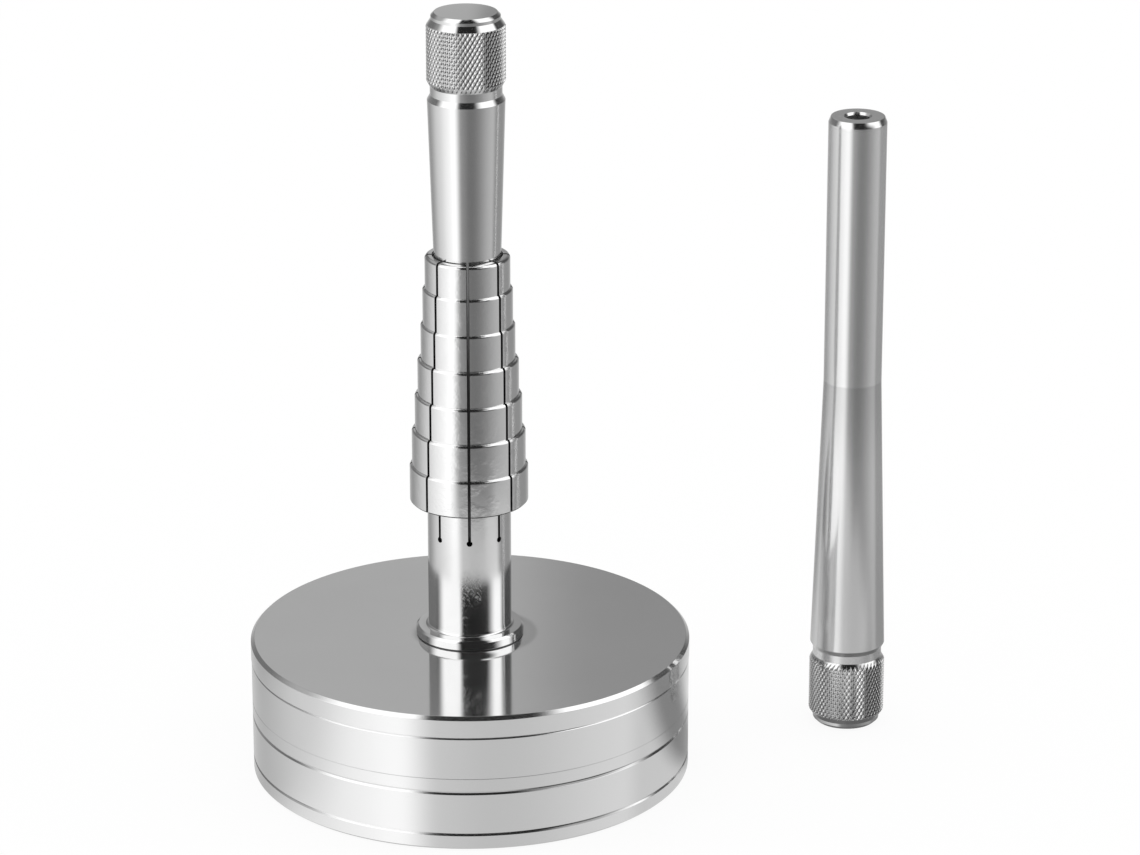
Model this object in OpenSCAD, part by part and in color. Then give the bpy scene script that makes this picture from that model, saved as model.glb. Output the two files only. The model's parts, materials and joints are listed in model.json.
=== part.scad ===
// Ring stretcher: a weighted round base, a stepped split mandrel and two taper plungers.
// Millimetres, +Z up. The origin is on the bench, on the axis of the mandrel.

/* [Base] */
// Diameter of the base body and of the bottom plate
base_d = 90; // [86:1:110]
// Height of the base's top face above the bench
base_h = 28.8; // [28:0.2:36]
// Thickness of the polished top plate
top_plate_t = 4.6; // [3.6:0.2:6]
// How far the rim of the top plate stands proud of the body, all round
top_plate_lip = 0.1; // [0:0.05:0.4]
// Thickness of the bottom plate
bottom_plate_t = 3.2; // [3:0.1:4.5]
// Chamfer on the top edge of the base
top_chamfer = 0.7; // [0.3:0.1:1.2]
// Chamfer on the bottom edge of the base
bottom_chamfer = 0.4; // [0.2:0.1:0.9]
// Width of the V line between the top plate and the body
top_seam_w = 0.45; // [0.3:0.05:0.8]
// Width of the V line between the body and the bottom plate
bottom_seam_w = 0.6; // [0.3:0.05:0.8]
// Depth of the V line round the middle of the body
groove_depth = 0.4; // [0.2:0.05:0.6]
// Width of the V line round the middle of the body
groove_w = 0.8; // [0.4:0.1:1.2]
// Drop from the top face to the middle V line
mid_groove_drop = 16.3; // [15.6:0.1:20]
// Drop from the top face to the hairline above it
hairline_drop = 13.3; // [8:0.1:14.4]
// Width and depth of the hairline
hairline_w = 0.16; // [0.1:0.02:0.3]

/* [Foot pad and bottom screws] */
// Gap between the rubber foot pad and the screw heads round it
pad_margin = 1.2; // [0.8:0.1:6]
// Thickness of the foot pad
pad_t = 1; // [0.8:0.1:1.5]
// How far the foot pad stands below the bottom plate
pad_proud = 0.3; // [0.2:0.05:0.5]
// Number of countersunk screws that hold the bottom plate
screw_count = 4; // [3:1:8]
// Distance from the screws' axes to the rim of the base
screw_inset = 5.5; // [4.8:0.1:12]
// Thread diameter of the screws
screw_d = 4; // [3:0.5:4]
// Diameter of the screw heads
screw_head_d = 7.6; // [6.4:0.1:7.6]
// Length of the screws, head included
screw_len = 11; // [8:0.5:14]
// Width across the flats of the screws' hex sockets
screw_socket_w = 2.5; // [2:0.1:2.5]
// Depth of the screws' hex sockets
screw_socket_depth = 1.4; // [1:0.1:1.8]

/* [Mandrel] */
// Diameter of the flange that sits on the base
flange_d = 22; // [20:0.5:26]
// Thickness of the flange
flange_t = 2.2; // [1.6:0.1:3]
// Chamfer on the top edge of the flange
flange_chamfer = 0.45; // [0.2:0.05:0.7]
// Chamfer on the bottom edge of the flange
flange_foot = 0.3; // [0.1:0.05:0.6]
// Radius of the fillet between the flange and the post
post_fillet = 0.6; // [0.2:0.1:0.9]
// Diameter of the plain post under the steps
post_d = 17; // [16.6:0.1:17.2]
// Height of the lowest step's underside above the base
steps_rise = 29.3; // [26:0.1:33]
// Height of the lowest step
bottom_step_h = 7.9; // [7.4:0.1:8.4]
// Height of each step between the lowest and the top one
step_h = 7.5; // [7:0.1:7.9]
// Height of the top step
top_step_h = 6.8; // [6:0.1:7.5]
// Diameter of the top step, the smallest
step_1_d = 17.2; // [17.1:0.05:17.6]
// Diameter of the second step
step_2_d = 18.2; // [17.9:0.05:18.5]
// Diameter of the third step
step_3_d = 19.1; // [18.8:0.05:19.5]
// Diameter of the fourth step
step_4_d = 20.5; // [20.1:0.05:20.9]
// Diameter of the fifth step
step_5_d = 21.75; // [21.4:0.05:22.1]
// Diameter of the sixth step
step_6_d = 23.1; // [22.7:0.05:23.5]
// Diameter of the lowest step, the largest
step_7_d = 24.1; // [23.8:0.05:25]
// Chamfer on the edges of the steps
step_chamfer = 0.35; // [0.1:0.05:0.4]
// Radius of the rounding on the mandrel's top rim
rim_round = 0.8; // [0.3:0.1:1]

/* [Slots] */
// Number of slots, and of the jaws between them
slot_count = 8; // [8:1:8]
// Width of a slot
slot_w = 0.6; // [0.3:0.05:0.8]
// Height above the base of the relief holes that the slots end in
slot_end_rise = 22.6; // [16:0.1:24]
// Diameter of the relief holes
relief_d = 1.2; // [0.9:0.1:1.6]

/* [Mandrel fixing inside the base] */
// Diameter of the threaded spigot under the flange
spigot_d = 16; // [15.5:0.1:16.6]
// Width across the flats of the nut
nut_w = 24; // [22:0.5:26]
// Thickness of the nut
nut_t = 8; // [6:0.5:8.5]
// Diameter of the washer
washer_d = 30; // [28:0.5:32]
// Thickness of the washer
washer_t = 3; // [2:0.5:3.5]
// How far the spigot stands out of the nut
spigot_end = 0.5; // [0.2:0.1:1]

/* [Plunger] */
// Whole length of a plunger
plunger_len = 132.5; // [128:0.5:133]
// Height of the plunger's struck face above the base
plunger_rise = 131.5; // [131:0.1:134]
// Diameter of the straight rod
rod_d = 12; // [11.8:0.1:12.2]
// Diameter at the thick end of the taper
taper_d = 15.6; // [15.2:0.1:15.8]
// Length of the taper
taper_len = 58; // [56:0.5:60]
// Height of the shoulder chamfer above the taper
shoulder_h = 1.1; // [0.8:0.1:1.4]
// Diameter of the neck between the taper and the striking cap
neck_d = 14.4; // [13.6:0.1:14.6]
// Height of the neck
neck_h = 1.7; // [1.2:0.1:2.2]
// How far the plunger can be driven down from where it stands
drive_travel = 20; // [10:1:22]

/* [Striking cap] */
// Diameter of the knurled band
cap_d = 15.8; // [15.2:0.1:16.4]
// Height of the knurled band
knurl_h = 11; // [10:0.1:12]
// Height of the chamfer under the knurled band
cap_under_h = 1.3; // [0.8:0.1:1.6]
// Height of the chamfer over the knurled band
cap_chamfer_h = 1.4; // [1:0.1:1.8]
// Height of the land round the struck face
cap_land_h = 1.3; // [0.8:0.1:1.8]
// Diameter of the struck face
face_d = 13.9; // [13:0.1:14.4]
// Chamfer on the edge of the struck face
face_chamfer = 0.65; // [0.1:0.05:0.75]
// Diameter of the rod's stud that the cap screws onto
stud_d = 8; // [6:0.5:9]
// Length of the stud
stud_len = 9; // [6:0.5:10]

/* [Tail of the plunger] */
// Diameter of the flat at the thin end
tail_d = 11; // [10.6:0.1:11.4]
// Height of the chamfer at the thin end
tail_chamfer_h = 1.2; // [0.6:0.1:1.6]
// Diameter of the hole in the thin end
tail_hole_d = 4.8; // [3.3:0.1:5]
// Depth of the hole in the thin end
tail_hole_depth = 14; // [8:0.5:20]
// Diameter of the countersink at the mouth of that hole
tail_sink_d = 5.8; // [5.4:0.1:6.6]

/* [Second plunger, standing on its cap] */
// Distance to the right of the mandrel's axis
spare_x = 79.5; // [76:0.5:120]
// Distance behind the mandrel's axis
spare_y = 21; // [0:0.5:60]

/* [Hidden] */
$fn = 96;
arc_step = 15;

// Clearances and the overrun of all cuts
running_gap = 0.05;
contact_gap = 0.02;
pad_gap = 0.1;
recess_gap = 1;
nut_room = 0.5;
tap_room = 1;
stud_room = 0.5;
over = 1;

// The bottom screws' circle, and the foot pad inside it
screw_circle_d = base_d - 2 * screw_inset;
pad_d = screw_circle_d - screw_head_d - 2 * pad_margin;

// Heights of the base pieces above the bench
plate_z = pad_proud;
body_z = plate_z + bottom_plate_t;
top_plate_z = base_h - top_plate_t;
recess_top = body_z + nut_room + spigot_end + nut_t + washer_t;
washer_z = recess_top - washer_t;
nut_z = washer_z - nut_t;
spigot_z = nut_z - spigot_end;

// Heights on the mandrel
hinge_z = base_h + slot_end_rise;
steps_z = base_h + steps_rise;
step_ds = [step_7_d, step_6_d, step_5_d, step_4_d, step_3_d, step_2_d, step_1_d];
step_top = len(step_ds) - 1;
function step_foot(i) = steps_z + (i > 0 ? bottom_step_h + (i - 1) * step_h : 0);
mandrel_z = step_foot(step_top) + top_step_h;
slot_angle = 360 / slot_count;

// Places on the plunger, measured up from its tail
cap_h = cap_under_h + knurl_h + cap_chamfer_h + cap_land_h;
cap_at = plunger_len - cap_h;
neck_at = cap_at - neck_h;
taper_end_at = neck_at - shoulder_h;
taper_at = taper_end_at - taper_len;
tail_z = base_h + plunger_rise - plunger_len;
taper_z = tail_z + taper_at;
taper_slope = (taper_d - rod_d) / 2 / taper_len;
tail_sink_h = (tail_sink_d - tail_hole_d) / 2;

// The jaws touch the plunger along a short land at their tips. Under it the bore is relieved,
// so that the plunger clears the jaws as it drives them open about their relief holes.
contact_share = 0.07;
spare_relief = 0.06;
land_z = mandrel_z - contact_share * (mandrel_z - hinge_z);
tip_growth = taper_slope * drive_travel;
jaw_relief = tip_growth * (1 - (taper_z - hinge_z) / (land_z - hinge_z)) + spare_relief;
jaw_bore_r = rod_d / 2 + jaw_relief;
function plunger_r(z) = rod_d / 2 + taper_slope * max(0, z - taper_z);

// Round solid turned from an outline of [radius, height] points
module turned(outline) {
    rotate_extrude() polygon(outline);
}

// Hexagonal bar of a given width across its flats
module hex_bar(w, h) {
    rotate([0, 0, 30]) cylinder(d = w / cos(30), h = h, $fn = 6);
}

// Copies on the circle of the bottom screws, turned half a pitch away from the front
module on_screw_circle() {
    for (i = [0 : screw_count - 1])
        rotate([0, 0, (i + 0.5) * 360 / screw_count])
            translate([screw_circle_d / 2, 0, 0])
                children();
}

// Disc with its own chamfer at the bottom and top edges: width first, then height
module chamfered_disc(d, z1, z2, low, high) {
    r = d / 2;
    turned([[0, z1], [r - low[0], z1], [r, z1 + low[1]],
        [r, z2 - high[1]], [r - high[0], z2], [0, z2]]);
}

// Half of a V line with 45 degree walls, as the chamfer of the plate on one side of it
function half_seam(w) = [w / 2, w / 2];

module foot_pad() {
    color("dimgray") cylinder(d = pad_d, h = pad_t);
}

// Countersunk head and shank, point up, head flush with the underside of the bottom plate
module screw_body(r, head_r, len) {
    head_h = head_r - r;
    turned([[0, 0], [head_r, 0], [r, head_h], [r, len], [0, len]]);
}

module base_bottom_plate() {
    color("silver") difference() {
        chamfered_disc(base_d, plate_z, body_z, [bottom_chamfer, bottom_chamfer],
            half_seam(bottom_seam_w));
        translate([0, 0, plate_z - over])
            cylinder(d = pad_d + 2 * pad_gap, h = pad_t - plate_z + over);
        on_screw_circle() translate([0, 0, plate_z])
            screw_body(screw_d / 2, screw_head_d / 2, screw_len);
    }
}

module bottom_screws() {
    color("dimgray") on_screw_circle() translate([0, 0, plate_z]) difference() {
        screw_body(screw_d / 2, screw_head_d / 2, screw_len);
        translate([0, 0, -over]) hex_bar(screw_socket_w, screw_socket_depth + over);
    }
}

// V cut round the side of the body, centred on a height
module side_groove(z, w, depth) {
    r = base_d / 2;
    turned([[r - depth, z], [r + over, z - (depth + over) * w / 2 / depth],
        [r + over, z + (depth + over) * w / 2 / depth]]);
}

module base_body() {
    color("silver") difference() {
        chamfered_disc(base_d, body_z, top_plate_z, half_seam(bottom_seam_w), half_seam(top_seam_w));
        side_groove(base_h - mid_groove_drop, groove_w, groove_depth);
        side_groove(base_h - hairline_drop, hairline_w, hairline_w);
        translate([0, 0, body_z - over]) cylinder(d = spigot_d, h = base_h);
        translate([0, 0, body_z - over])
            cylinder(d = washer_d + 2 * recess_gap, h = recess_top - body_z + over);
        on_screw_circle() translate([0, 0, body_z - over])
            cylinder(d = screw_d, h = plate_z + screw_len + tap_room - body_z + over);
    }
}

module base_top_plate() {
    color("lightgray") difference() {
        chamfered_disc(base_d + 2 * top_plate_lip, top_plate_z, base_h,
            [top_seam_w / 2 + top_plate_lip, top_seam_w / 2], [top_chamfer, top_chamfer]);
        translate([0, 0, top_plate_z - over]) cylinder(d = spigot_d, h = top_plate_t + 2 * over);
    }
}

module mandrel_washer() {
    color("gray") translate([0, 0, washer_z]) difference() {
        cylinder(d = washer_d, h = washer_t);
        translate([0, 0, -over]) cylinder(d = spigot_d, h = washer_t + 2 * over);
    }
}

module mandrel_nut() {
    corner_r = nut_w / 2 / cos(30);
    chamfer_h = (corner_r - nut_w / 2) / 2;
    color("gray") translate([0, 0, nut_z]) difference() {
        intersection() {
            hex_bar(nut_w, nut_t);
            turned([[0, 0], [nut_w / 2, 0], [corner_r, chamfer_h], [corner_r, nut_t], [0, nut_t]]);
        }
        translate([0, 0, -over]) cylinder(d = spigot_d, h = nut_t + 2 * over);
    }
}

// Radial relief holes at the foot of the slots
module relief_holes() {
    for (i = [0 : slot_count - 1])
        rotate([0, 0, i * slot_angle]) translate([0, 0, hinge_z])
            rotate([0, 90, 0]) cylinder(d = relief_d, h = post_d, $fn = 24);
}

module mandrel_sleeve() {
    spigot_r = spigot_d / 2;
    spigot_chamfer = spigot_end;
    color("lightgray") difference() {
        turned([
            [rod_d / 2 + running_gap, spigot_z],
            [spigot_r - spigot_chamfer, spigot_z],
            [spigot_r, spigot_z + spigot_chamfer],
            [spigot_r, base_h],
            [flange_d / 2 - flange_foot, base_h],
            [flange_d / 2, base_h + flange_foot],
            [flange_d / 2, base_h + flange_t - flange_chamfer],
            [flange_d / 2 - flange_chamfer, base_h + flange_t],
            for (a = [90 : -arc_step : 0])
                [post_d / 2 + post_fillet * (1 - cos(a)), base_h + flange_t + post_fillet * (1 - sin(a))],
            [post_d / 2, hinge_z],
            [rod_d / 2 + running_gap, hinge_z]
        ]);
        relief_holes();
    }
}

// Outline of one step: up its wall and in over its chamfered top edge
function step_outline(i) =
    let (r = step_ds[i] / 2, z = step_foot(i + 1))
    [[r, step_foot(i)], [r, z - step_chamfer], [r - step_chamfer, z]];

// Outline of the top step: up its wall and in over the rounded rim
function top_step_outline() =
    let (r = step_1_d / 2)
    concat([[r, step_foot(step_top)]],
        [for (a = [0 : arc_step : 90])
            [r - rim_round * (1 - cos(a)), mandrel_z - rim_round * (1 - sin(a))]]);

// Cross-section of the split part of the mandrel, bore side last
function jaw_outline() = concat(
    [[jaw_bore_r, hinge_z], [post_d / 2, hinge_z], [post_d / 2, steps_z],
        [step_ds[0] / 2 - step_chamfer, steps_z]],
    [[step_ds[0] / 2, steps_z + step_chamfer], [step_ds[0] / 2, step_foot(1) - step_chamfer],
        [step_ds[0] / 2 - step_chamfer, step_foot(1)]],
    [for (i = [1 : step_top - 1]) each step_outline(i)],
    top_step_outline(),
    [[plunger_r(mandrel_z) + contact_gap + step_chamfer, mandrel_z],
        [plunger_r(mandrel_z - step_chamfer) + contact_gap, mandrel_z - step_chamfer],
        [plunger_r(land_z) + contact_gap, land_z],
        [jaw_bore_r, taper_z]]
);

// One jaw: the part of the split mandrel between two slots, one of which faces the front
module jaw(k) {
    reach = step_7_d;
    apex = slot_w / 2 / sin(slot_angle / 2);
    color("lightgray") difference() {
        intersection() {
            turned(jaw_outline());
            rotate([0, 0, (k - 0.5) * slot_angle]) translate([apex, 0, hinge_z - over])
                linear_extrude(mandrel_z - hinge_z + 2 * over)
                    polygon([[0, 0], reach * [cos(slot_angle / 2), -sin(slot_angle / 2)],
                        reach * [cos(slot_angle / 2), sin(slot_angle / 2)]]);
        }
        relief_holes();
    }
}

// The rod of a plunger, tail at the origin
module rod_shape() {
    rod_r = rod_d / 2;
    color("lightgray") difference() {
        turned([
            [0, 0],
            [tail_d / 2, 0],
            [rod_r, tail_chamfer_h],
            [rod_r, taper_at],
            [taper_d / 2, taper_end_at],
            [neck_d / 2, neck_at],
            [neck_d / 2, cap_at],
            [stud_d / 2, cap_at],
            [stud_d / 2, cap_at + stud_len],
            [0, cap_at + stud_len]
        ]);
        turned([
            [0, -over],
            [tail_sink_d / 2 + over, -over],
            [tail_hole_d / 2, tail_sink_h],
            [tail_hole_d / 2, tail_hole_depth],
            [0, tail_hole_depth]
        ]);
    }
}

// The striking cap of a plunger, with the plunger's tail at the origin
module cap_shape() {
    band_at = cap_at + cap_under_h;
    chamfer_at = band_at + knurl_h;
    land_at = chamfer_at + cap_chamfer_h;
    color("silver") difference() {
        turned([
            [0, cap_at],
            [neck_d / 2, cap_at],
            [cap_d / 2, band_at],
            [cap_d / 2, chamfer_at],
            [face_d / 2, land_at],
            [face_d / 2, plunger_len - face_chamfer],
            [face_d / 2 - face_chamfer, plunger_len],
            [0, plunger_len]
        ]);
        translate([0, 0, cap_at - over]) cylinder(d = stud_d, h = stud_len + stud_room + over);
    }
}

module in_mandrel() {
    translate([0, 0, tail_z]) children();
}

module on_bench() {
    translate([spare_x, spare_y, plunger_len]) mirror([0, 0, 1]) children();
}

module plunger_rod() { in_mandrel() rod_shape(); }
module striking_cap() { in_mandrel() cap_shape(); }
module spare_rod() { on_bench() rod_shape(); }
module spare_cap() { on_bench() cap_shape(); }

foot_pad();
base_bottom_plate();
bottom_screws();
base_body();
base_top_plate();
mandrel_nut();
mandrel_washer();
mandrel_sleeve();
for (k = [1 : slot_count])
    jaw(k);
plunger_rod();
striking_cap();
spare_rod();
spare_cap();
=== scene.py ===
import bpy, bmesh, json, math
from mathutils import Matrix, Vector


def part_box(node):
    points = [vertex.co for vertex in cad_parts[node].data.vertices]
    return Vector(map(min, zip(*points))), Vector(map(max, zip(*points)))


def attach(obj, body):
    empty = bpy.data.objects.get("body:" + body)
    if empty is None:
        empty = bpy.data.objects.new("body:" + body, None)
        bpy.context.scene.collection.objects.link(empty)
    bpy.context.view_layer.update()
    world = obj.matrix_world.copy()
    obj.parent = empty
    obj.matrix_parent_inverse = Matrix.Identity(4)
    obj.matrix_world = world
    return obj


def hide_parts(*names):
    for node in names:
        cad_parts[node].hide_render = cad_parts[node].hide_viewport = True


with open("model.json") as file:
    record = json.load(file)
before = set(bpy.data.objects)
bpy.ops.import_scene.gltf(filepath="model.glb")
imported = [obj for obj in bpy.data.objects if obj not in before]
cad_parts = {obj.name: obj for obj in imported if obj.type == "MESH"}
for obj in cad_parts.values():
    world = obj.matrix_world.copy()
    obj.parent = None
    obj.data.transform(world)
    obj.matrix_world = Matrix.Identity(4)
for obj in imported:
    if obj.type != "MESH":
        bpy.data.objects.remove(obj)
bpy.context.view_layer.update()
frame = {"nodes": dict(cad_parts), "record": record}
mm = 0.001
degrees = 180 / math.pi
tiny = 1e-6  # keeps a division from meeting zero, and tells a point on the axis
scene = bpy.context.scene
print("frame loaded:", len(frame["nodes"]), "CAD nodes")


# A shader or geometry tree, written like ordinary sums

class Value:
    def __init__(self, graph, socket):
        self.graph, self.socket = graph, socket

    def output(self, name):  # another output of the same node
        return Value(self.graph, self.socket.node.outputs[name])

    def maths(self, operation, *others):
        return self.graph.node("ShaderNodeMath", {"operation": operation}, dict(enumerate((self,) + others)))

    def reflected(self, operation, other):
        return self.graph.node("ShaderNodeMath", {"operation": operation}, {0: other, 1: self})

    def __add__(self, other):
        return self.maths("ADD", other)

    def __radd__(self, other):
        return self.reflected("ADD", other)

    def __sub__(self, other):
        return self.maths("SUBTRACT", other)

    def __rsub__(self, other):
        return self.reflected("SUBTRACT", other)

    def __mul__(self, other):
        return self.maths("MULTIPLY", other)

    def __rmul__(self, other):
        return self.reflected("MULTIPLY", other)

    def __truediv__(self, other):
        return self.maths("DIVIDE", other)

    def __rtruediv__(self, other):
        return self.reflected("DIVIDE", other)

    def rise(self, start, end):  # 0 before start, 1 after end, smooth between
        return self.graph.node("ShaderNodeMapRange", {"interpolation_type": "SMOOTHSTEP"},
                               {"Value": self, "From Min": start, "From Max": end})


class Graph:
    def __init__(self, tree):
        self.tree = tree
        tree.nodes.clear()

    def node(self, kind, settings=None, inputs=None, output=0):
        made = self.tree.nodes.new(kind)
        for name, value in (settings or {}).items():
            setattr(made, name, value)
        for key, value in (inputs or {}).items():
            if isinstance(value, Value):
                self.tree.links.new(value.socket, made.inputs[key])
            else:
                made.inputs[key].default_value = value
        return Value(self, made.outputs[output]) if len(made.outputs) else None


def band(value, start, end):  # 1 between start and end, each a stretch over which it changes
    return value.rise(*start) * (1 - value.rise(*end))


# Meshes

def rounded(points, segments):
    # (radius, height) or (radius, height, rounding) in mm; a rounding swaps the corner for an arc
    outline = []
    count = len(points)
    for i, point in enumerate(points):
        here = Vector(point[:2])
        if len(point) < 3 or point[2] <= 0:
            outline.append(here)
            continue
        toLast = (Vector(points[i - 1][:2]) - here).normalized()
        toNext = (Vector(points[(i + 1) % count][:2]) - here).normalized()
        half = toLast.angle(toNext) / 2
        middle = here + (toLast + toNext).normalized() * point[2] / math.sin(half)
        start = here + toLast * point[2] / math.tan(half) - middle
        end = here + toNext * point[2] / math.tan(half) - middle
        sweep = start.angle(end)
        for s in range(segments + 1):
            a = sweep * s / segments
            outline.append(middle + (start * math.sin(sweep - a) + end * math.sin(a)) / math.sin(sweep))
    return outline


def turned(points, columns, segments=4, ring=False):
    # a solid turned round the Z axis; ring=True closes the outline on itself round a bore
    bm = bmesh.new()
    rows = []
    for r, z in rounded(points, segments):
        if r < tiny:
            rows.append([bm.verts.new((0, 0, z * mm))])
        else:
            rows.append([bm.verts.new((r * mm * math.cos(a), r * mm * math.sin(a), z * mm))
                         for a in (math.tau * c / columns for c in range(columns))])
    pairs = list(zip(rows, rows[1:])) + ([(rows[-1], rows[0])] if ring else [])
    for low, high in pairs:
        for c in range(columns):
            d = (c + 1) % columns
            corners = [low[c % len(low)], low[d % len(low)], high[d % len(high)], high[c % len(high)]]
            bm.faces.new(list(dict.fromkeys(corners)))
    bmesh.ops.recalc_face_normals(bm, faces=bm.faces)
    return bm


def meshObject(name, bm):
    mesh = bpy.data.meshes.new(name)
    bm.to_mesh(mesh)
    bm.free()
    obj = bpy.data.objects.new(name, mesh)
    scene.collection.objects.link(obj)
    return obj


def applied(obj):
    # the object's modifiers become its plain mesh
    evaluated = obj.evaluated_get(bpy.context.evaluated_depsgraph_get())
    mesh = bpy.data.meshes.new_from_object(evaluated)
    obj.modifiers.clear()
    obj.data = mesh
    return obj


def withShading(obj, sharpFrom=28):
    # smooth faces, edges sharper than an angle kept crisp, big faces kept flat beside small roundings
    bm = bmesh.new()
    bm.from_mesh(obj.data)
    for face in bm.faces:
        face.smooth = True
    for edge in bm.edges:
        edge.smooth = edge.is_manifold and edge.calc_face_angle() < math.radians(sharpFrom)
    bm.to_mesh(obj.data)
    bm.free()
    weighted = obj.modifiers.new("weighted", "WEIGHTED_NORMAL")
    weighted.keep_sharp = True
    return applied(obj)


def piece(obj, material, body, slotName, *nodes):
    obj.data.materials.clear()
    obj.data.materials.append(material)
    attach(obj, body)
    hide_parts(*nodes)
    return obj


def geometryTree(name, sockets):
    tree = bpy.data.node_groups.new(name, "GeometryNodeTree")
    for label, kind in sockets:
        tree.interface.new_socket(label, in_out="INPUT", socket_type=kind)
    tree.interface.new_socket("Geometry", in_out="OUTPUT", socket_type="NodeSocketGeometry")
    graph = Graph(tree)
    return graph, graph.node("NodeGroupInput")


def dressed(obj, tree, values):
    # runs a geometry tree on an object and keeps the result as a plain mesh
    modifier = obj.modifiers.new(tree.name, "NODES")
    modifier.node_group = tree
    for item in tree.interface.items_tree:
        if item.in_out == "INPUT" and item.name in values:
            modifier[item.identifier] = values[item.name]
    return applied(obj)


def closeTree(graph, geometry, material):
    real = graph.node("GeometryNodeRealizeInstances", inputs={"Geometry": geometry})
    painted = graph.node("GeometryNodeSetMaterial", inputs={"Geometry": real, "Material": material})
    graph.node("NodeGroupOutput", inputs={"Geometry": painted})
    return graph.tree


# Finishes

lathe = {"climb": 1.37, "turn": 0.7, "detail": 3.0, "roughness": 0.6}
smudge = {"scale": 90.0, "detail": 4.0, "roughness": 0.55}


def emptyMaterial(name):
    material = bpy.data.materials.new(name)
    material.use_nodes = True
    return material, Graph(material.node_tree)


class Steel:
    # a steel surface in the making: its places, and what the effects below add up to
    def __init__(self, graph, look):
        self.graph = graph
        self.place = graph.node("ShaderNodeMapping", inputs={
            "Vector": graph.node("ShaderNodeTexCoord", output="Object"),
            "Location": look.get("centre", (0, 0, 0))})
        self.x = graph.node("ShaderNodeSeparateXYZ", inputs={"Vector": self.place})
        self.y, self.z = self.x.output("Y"), self.x.output("Z")
        self.radius = (self.x * self.x + self.y * self.y + tiny ** 2).maths("SQRT")
        lines = self.latheLines(lathe, look["linePitch"])
        self.smudges = self.noise(self.place, look.get("smudgeScale", smudge["scale"]),
                                  smudge["detail"], smudge["roughness"])
        self.rough = (look["roughness"] + (lines - 0.5) * look["lineRoughness"]
                      + (self.smudges - 0.5) * look["smudgeRoughness"])
        self.height = lines * look["lineDepth"] * mm
        self.darkness = (self.smudges - 0.5) * look["cloudiness"]

    def noise(self, place, scale, detail, roughness=0.5):
        return self.graph.node("ShaderNodeTexNoise", inputs={
            "Vector": place, "Scale": scale, "Detail": detail, "Roughness": roughness})

    def latheLines(self, lines, pitch):
        # a noise that runs far round the axis and changes fast along the outline
        along = (self.z + self.radius * lines["climb"]) / (pitch * mm)
        around = self.graph.node("ShaderNodeCombineXYZ", inputs={
            "X": self.x / self.radius * lines["turn"], "Y": self.y / self.radius * lines["turn"], "Z": along})
        return self.noise(around, 1.0, lines["detail"], lines["roughness"])

    def turn(self):  # the angle round the axis, 0 in front and + to the right
        return self.x.maths("ARCTAN2", self.y * -1)

    def level(self, edge):  # 0 below the lower height of a pair in mm, 1 above the upper one
        return self.z.rise(edge[0] * mm, edge[1] * mm)

    def attribute(self, name):
        return self.graph.node("ShaderNodeAttribute", {"attribute_name": name}, output="Fac")


def addDish(steel, dish):  # the surface climbs a little towards the flange, from buffing round it
    climb = (dish["outer"] * mm - steel.radius).maths("MAXIMUM", 0.0)
    width = (dish["outer"] - dish["inner"]) * mm
    steel.height = steel.height + climb * climb * climb * (dish["slope"] / width ** 2 / 3)


def addGrooveShade(steel, grooveShade):  # painted shade in two of the lines round the base's side, on one part of the turn
    angle = steel.turn() * degrees
    for height in grooveShade["heights"]:
        away = (steel.z - height * mm).maths("ABSOLUTE")
        near = 1 - away.rise(*(width * mm for width in grooveShade["reach"]))
        steel.darkness = steel.darkness - near * band(angle, grooveShade["from"], grooveShade["to"]) * grooveShade["amount"]


def addMottle(steel, mottle):  # a faint unevenness of handling and polishing
    spots = steel.noise(steel.place, mottle["scale"], mottle["detail"])
    patches = steel.smudges.rise(*mottle["patches"])
    steel.height = steel.height + spots * patches * steel.level(mottle["above"]) * mottle["depth"] * mm
    steel.rough = steel.rough + (spots - 0.5) * mottle["roughness"]


def addPolish(steel, polish):  # a brighter polish below a level
    steel.rough = steel.rough * (1 - (1 - steel.level(polish["below"])) * polish["share"])


def addScuffs(steel, scuffs):  # two families of fine scratches that cross on a short stretch of the post
    turn = steel.turn()
    angle, along = turn * degrees, turn * steel.radius
    dense = steel.level(scuffs["dense"])
    amount = dense + (1 - dense) * (1 - angle.rise(*scuffs["thinFrom"])) * scuffs["thin"]
    where = (steel.level(scuffs["low"]) * (1 - steel.level(scuffs["high"])) * amount
             * band(angle, *scuffs["sides"]))
    for lean in (scuffs["angle"], -scuffs["angle"]):
        lengthwise, sideways = math.cos(lean / degrees), math.sin(lean / degrees)
        across = (along * lengthwise + steel.z * sideways) / (scuffs["pitch"] * mm)
        down = (steel.z * lengthwise - along * sideways) / (scuffs["length"] * mm)
        place = steel.graph.node("ShaderNodeCombineXYZ", inputs={"X": across, "Y": down, "Z": lean})
        scratches = steel.noise(place, 1.0, scuffs["detail"]).rise(*scuffs["marks"])
        steel.rough = steel.rough + scratches * where * scuffs["roughness"]


def addHollowShade(steel, hollowShade):  # painted shade in the bottoms of the knurl, with rougher steel there
    low = steel.attribute("knurlDepth")
    steel.darkness = steel.darkness - low.rise(*hollowShade["depths"]) * hollowShade["amount"]
    steel.rough = steel.rough + low * hollowShade["roughness"]


def addShadeInMandrel(steel, mandrelShade):  # painted shade on the part of the rod that stands in the mandrel, with rougher steel there
    shadedLow = 1 - steel.level(mandrelShade["below"])
    steel.darkness = steel.darkness - shadedLow * mandrelShade["amount"]
    steel.rough = steel.rough + shadedLow * mandrelShade["roughness"]


def addShades(steel, shades):  # painted shade on stretches of the rod, from one level to another
    for shade in shades:
        stretch = steel.level(shade["from"]) * (1 - steel.level(shade["to"]))
        steel.darkness = steel.darkness - stretch * shade["amount"]


def addShadedInside(steel, inside):  # painted shade on slot walls, bores, relief holes and the corners under the flange and the lowest step; the steel there is rougher too
    within = steel.attribute("inside")
    steel.darkness = steel.darkness - within * inside["amount"]
    steel.rough = steel.rough + within * inside["roughness"]


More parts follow.
